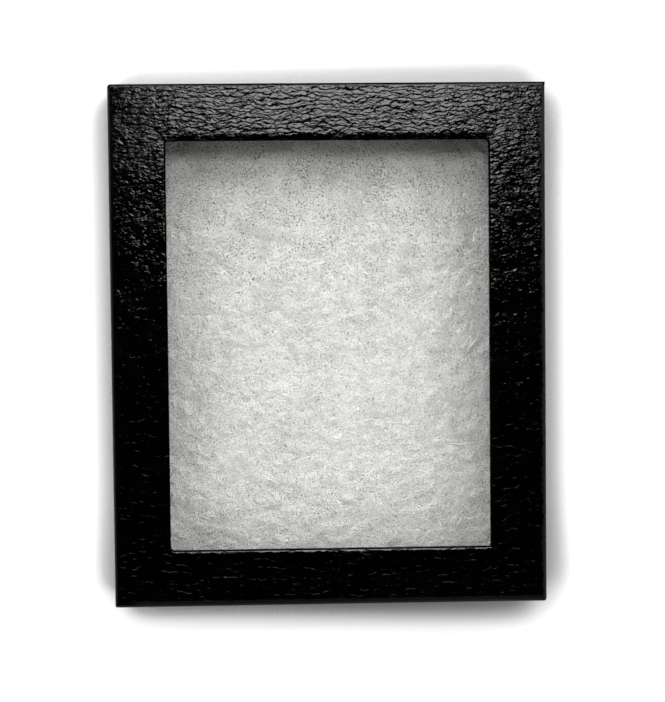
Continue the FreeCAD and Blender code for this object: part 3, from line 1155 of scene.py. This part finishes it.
# %% Loose fibres
LOCKS = 840
FIBRES_IN_LOCK = 5
FIBRE_POINTS = 6
FIBRE_RADIUS = 0.045 * MM
STRAND_X, STRAND_Y = PAD_HIGH.x - 5 * MM, PAD_HIGH.y - 5 * MM
STEP_RANGE, RISE_RANGE = (0.6, 1.5), (0.05, 0.3)
LOCK_CURL, FIBRE_CURL = 0.3, 0.16
LOCK_WIDTH = 0.7 * MM
FIBRE_SINK = 0.03 * MM
TOP_SPACING = 1.2 * MM
random = np.random.default_rng(7)


def top_of(piece, spacing):
    """Heights of the piece's top on a square grid, and a function that reads them anywhere."""
    points = points_of(piece)
    columns = math.ceil(2 * PAD_HIGH.x / spacing) + 1
    rows = math.ceil(2 * PAD_HIGH.y / spacing) + 1
    heights = np.full((columns, rows), pad_low.z)
    column = np.rint((points[:, 0] + PAD_HIGH.x) / spacing).astype(int)
    row = np.rint((points[:, 1] + PAD_HIGH.y) / spacing).astype(int)
    np.maximum.at(heights, (column, row), points[:, 2])

    def read(x, y):
        column = np.clip(np.rint((x + PAD_HIGH.x) / spacing).astype(int), 0, columns - 1)
        row = np.clip(np.rint((y + PAD_HIGH.y) / spacing).astype(int), 0, rows - 1)
        return heights[column, row]
    return read


read_top = top_of(batting, TOP_SPACING)
curve = bpy.data.curves.new("fibre_strands", "CURVE")
curve.dimensions = "3D"
curve.bevel_depth = FIBRE_RADIUS
curve.bevel_resolution = 0
strands = bpy.data.objects.new("fibre_strands", curve)
scene.collection.objects.link(strands)
for _ in range(LOCKS):
    x = random.uniform(-1, 1) * STRAND_X
    y = random.uniform(-1, 1, 2).max() * STRAND_Y
    heading = random.uniform(0, 2 * math.pi)
    bend = random.normal(0, LOCK_CURL)
    step = random.uniform(*STEP_RANGE) * MM
    for _ in range(FIBRES_IN_LOCK):
        turns = heading + np.cumsum(bend + random.normal(0, FIBRE_CURL, FIBRE_POINTS))
        aside = random.normal(0, LOCK_WIDTH, 2)
        xs = np.clip(x + aside[0] + np.cumsum(np.cos(turns)) * step, -STRAND_X, STRAND_X)
        ys = np.clip(y + aside[1] + np.cumsum(np.sin(turns)) * step, -STRAND_Y, STRAND_Y)
        rise = np.sin(np.linspace(0, math.pi, FIBRE_POINTS)) * random.uniform(*RISE_RANGE) * MM
        zs = np.minimum(read_top(xs, ys) - FIBRE_SINK + rise, PAD_HIGH.z - FIBRE_RADIUS)
        spline = curve.splines.new("POLY")
        spline.points.add(FIBRE_POINTS - 1)
        spline.points.foreach_set("co", np.column_stack([xs, ys, zs, np.ones(FIBRE_POINTS)]).ravel())
pick(strands)
bpy.ops.object.convert(target="MESH")
strands = bpy.context.object
strands.data.materials.clear()
STRAND_WOOL = white_fibre("white_strands", (0.9, 0.895, 0.88), (0.97, 0.965, 0.95), 0.01 * MM)
strands.data.materials.append(STRAND_WOOL)
bpy.ops.object.shade_smooth()
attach(strands, "tray")
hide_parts("fibre_pad")
report(strands)

# %% [markdown]
# ## Board and kraft paper
# The boards are pressed from waste paper: grey-brown, with darker and paler flecks of pulp. The stays are
# smooth brown kraft paper with fine ribs, and the sheet on the back is thin black paper. One node group
# makes pulp for all three.

# %% Pulp
def pulp_group():
    tree, source, result = start_group(
        "pulp", "ShaderNodeTree", {"Place": "Vector", "Scale": "Float"},
        {"Flecks": "Float", "Tone": "Float", "Height": "Float"},
    )
    scaled = enlarge(tree, source.outputs["Place"], source.outputs["Scale"])
    bent = move(tree, "ADD", scaled, noise(tree, scaled, 1.5, 2.0).outputs[1])
    threads = noise(tree, move(tree, "MULTIPLY", bent, (0.5, 2.2, 1.4)), 1.6, 3.0, 0.6).outputs[0]
    crossed = noise(tree, move(tree, "MULTIPLY", bent, (2.4, 0.6, 1.2)), 1.3, 2.0, 0.6).outputs[0]
    flecks = calculate(tree, "MAXIMUM", ramp(tree, threads, 0.58, 0.72), ramp(tree, crossed, 0.62, 0.74))
    tree.links.new(flecks, result.inputs["Flecks"])
    tone = noise(tree, scaled, 0.12, 5.0, 0.65).outputs[0]
    tree.links.new(ramp(tree, tone, 0.32, 0.68), result.inputs["Tone"])
    height = calculate(tree, "ADD", calculate(tree, "MULTIPLY", flecks, 0.5), threads)
    tree.links.new(height, result.inputs["Height"])
    return tree


PULP = pulp_group()


def pulp_material(name, scale, dark, light, fleck, relief, rough):
    """Paper or board: two shades that drift into each other, with flecks of a third."""
    material, tree, shader = new_material(name)
    pulp = place_group(tree, PULP, {"Place": object_place(tree), "Scale": scale})
    ground = mix_colours(tree, pulp.outputs["Tone"], dark, light)
    amount = calculate(tree, "MULTIPLY", pulp.outputs["Flecks"], 0.6)
    tree.links.new(mix_colours(tree, amount, ground, fleck), shader.inputs["Base Color"])
    keys = {"Height": pulp.outputs["Height"], "Distance": relief, "Strength": 1.0}
    tree.links.new(add(tree, "ShaderNodeBump", keys).outputs[0], shader.inputs["Normal"])
    roughness = ramp(tree, pulp.outputs["Tone"], 0.0, 1.0, rough, rough - 0.1)
    tree.links.new(roughness, shader.inputs["Roughness"])
    return material


CHIPBOARD = pulp_material(
    "grey_chipboard", 1.0, (0.27, 0.24, 0.20), (0.38, 0.345, 0.30), (0.16, 0.13, 0.10), 0.03 * MM, 0.95,
)
KRAFT = pulp_material(
    "brown_kraft", 1.8, (0.36, 0.235, 0.125), (0.45, 0.31, 0.18), (0.28, 0.17, 0.08), 0.012 * MM, 0.6,
)
BACK_PAPER = pulp_material(
    "black_back_paper", 1.4, (0.018, 0.018, 0.019), (0.028, 0.028, 0.03), (0.04, 0.04, 0.04),
    0.01 * MM, 0.75,
)
FINISHES = {"stay": KRAFT, "back_sheet": BACK_PAPER, "wrap": TRAY_PAPER, "pad": BATTING}
for name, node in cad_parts.items():
    chosen = [finish for word, finish in FINISHES.items() if word in name]
    node.data.materials.clear()
    node.data.materials.append(chosen[0] if chosen else CHIPBOARD)

# %% Glass
def clear_glass():
    """Glass that mirrors and bends light for the eye, and lets lamps and soft light straight through."""
    material, tree, shader = new_material("clear_glass")
    shader.inputs["Base Color"].default_value = (0.985, 0.985, 0.975, 1)
    shader.inputs["Roughness"].default_value = 0.0
    shader.inputs["IOR"].default_value = 1.5
    shader.inputs["Transmission Weight"].default_value = 1.0
    path = tree.nodes.new("ShaderNodeLightPath")
    clear = tree.nodes.new("ShaderNodeBsdfTransparent")
    surface = shader.outputs[0]
    for ray in ("Is Shadow Ray", "Is Diffuse Ray"):
        keys = {0: path.outputs[ray], 1: surface, 2: clear.outputs[0]}
        surface = add(tree, "ShaderNodeMixShader", keys).outputs[0]
    tree.links.new(surface, tree.nodes["Material Output"].inputs["Surface"])
    return material


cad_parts["glass_pane"].data.materials.clear()
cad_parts["glass_pane"].data.materials.append(clear_glass())

# %% [markdown]
# ## The table
# The case lies on a plain white surface. The camera sees that surface lifted to white by a glow, and so
# do glass and polished things. The glow fades by the share of open sky above each spot, read with a slant,
# and it is set a little higher to the left and lower towards the lower and upper ends. This draws a
# painted shadow round the case, on top of its real shadow.

# %% Floor
FLOOR_SIZE = 8.0
FLOOR_GAP = -0.05 * MM
TABLE_GREY = (0.6, 0.6, 0.6, 1)
SHADOW_REACH = 13 * MM
PAINTED_SHADOW_SLANT = (-0.35, 0.45, 0.82)
TABLE_LIFT = 0.85


def white_table():
    material, tree, shader = new_material("white_table")
    shader.inputs["Base Color"].default_value = TABLE_GREY
    shader.inputs["Roughness"].default_value = 1.0
    shader.inputs["Specular IOR Level"].default_value = 0.0
    path = tree.nodes.new("ShaderNodeLightPath")
    seen = path.outputs["Is Camera Ray"]
    for ray in ("Is Transmission Ray", "Is Glossy Ray"):
        seen = calculate(tree, "MAXIMUM", seen, path.outputs[ray])
    # Painted shadow: the glow fades where the case hides the slanted sky, which draws a soft shadow round
    # the case.
    keys = {"Distance": SHADOW_REACH, "Normal": PAINTED_SHADOW_SLANT}
    sky_share_and_painted_shadow = add(tree, "ShaderNodeAmbientOcclusion", keys, samples=8).outputs["AO"]
    spot = add(tree, "ShaderNodeSeparateXYZ", {0: add(tree, "ShaderNodeTexCoord").outputs["Object"]})
    # Painted shadow: the glow is raised to the left and lowered near the ends, to shape that shadow.
    changes = [
        ("X", -HALF_WIDTH, HALF_WIDTH, 0.09, 0.0),
        ("Y", -HALF_LENGTH, -HALF_LENGTH / 2, -0.07, -0.008),
        ("Y", HALF_LENGTH / 2, HALF_LENGTH, 0.0, -0.03),
    ]
    for axis, *span in changes:
        sky_share_and_painted_shadow = calculate(tree, "ADD", sky_share_and_painted_shadow, ramp(tree, spot.outputs[axis], *span))
    lift = calculate(tree, "MULTIPLY", seen, ramp(tree, sky_share_and_painted_shadow, 0.7, 1.0, 0.0, TABLE_LIFT))
    glow = add(tree, "ShaderNodeEmission", {"Color": (1, 1, 1, 1), "Strength": lift})
    both = add(tree, "ShaderNodeAddShader", {0: shader.outputs[0], 1: glow.outputs[0]})
    tree.links.new(both.outputs[0], tree.nodes["Material Output"].inputs["Surface"])
    return material


bpy.ops.object.select_all(action="DESELECT")
bpy.ops.mesh.primitive_plane_add(size=FLOOR_SIZE, location=(0, 0, FLOOR_GAP))
floor = bpy.context.object
floor.name = "floor"
floor.data.materials.append(white_table())

# %% [markdown]
# The sky is a ring of light that is brightest beyond the top of the case, and it is dark straight above.

# %% World
RING_TOP, DARK_FROM = 0.56, 0.8
NEAR_LIGHT, FAR_LIGHT = 0.53, 3.8
world = bpy.data.worlds.new("studio")
scene.world = world
world.use_nodes = True
sky_tree = world.node_tree
background = sky_tree.nodes["Background"]
background.inputs["Color"].default_value = (1, 1, 1, 1)
direction = add(sky_tree, "ShaderNodeTexCoord").outputs["Generated"]
parts = add(sky_tree, "ShaderNodeSeparateXYZ", {0: direction})
ring = ramp(sky_tree, parts.outputs["Z"], RING_TOP, DARK_FROM, 1.0, 0.0)
side = ramp(sky_tree, parts.outputs["Y"], -0.6, 0.8, NEAR_LIGHT, FAR_LIGHT)
sky_tree.links.new(calculate(sky_tree, "MULTIPLY", ring, side), background.inputs["Strength"])
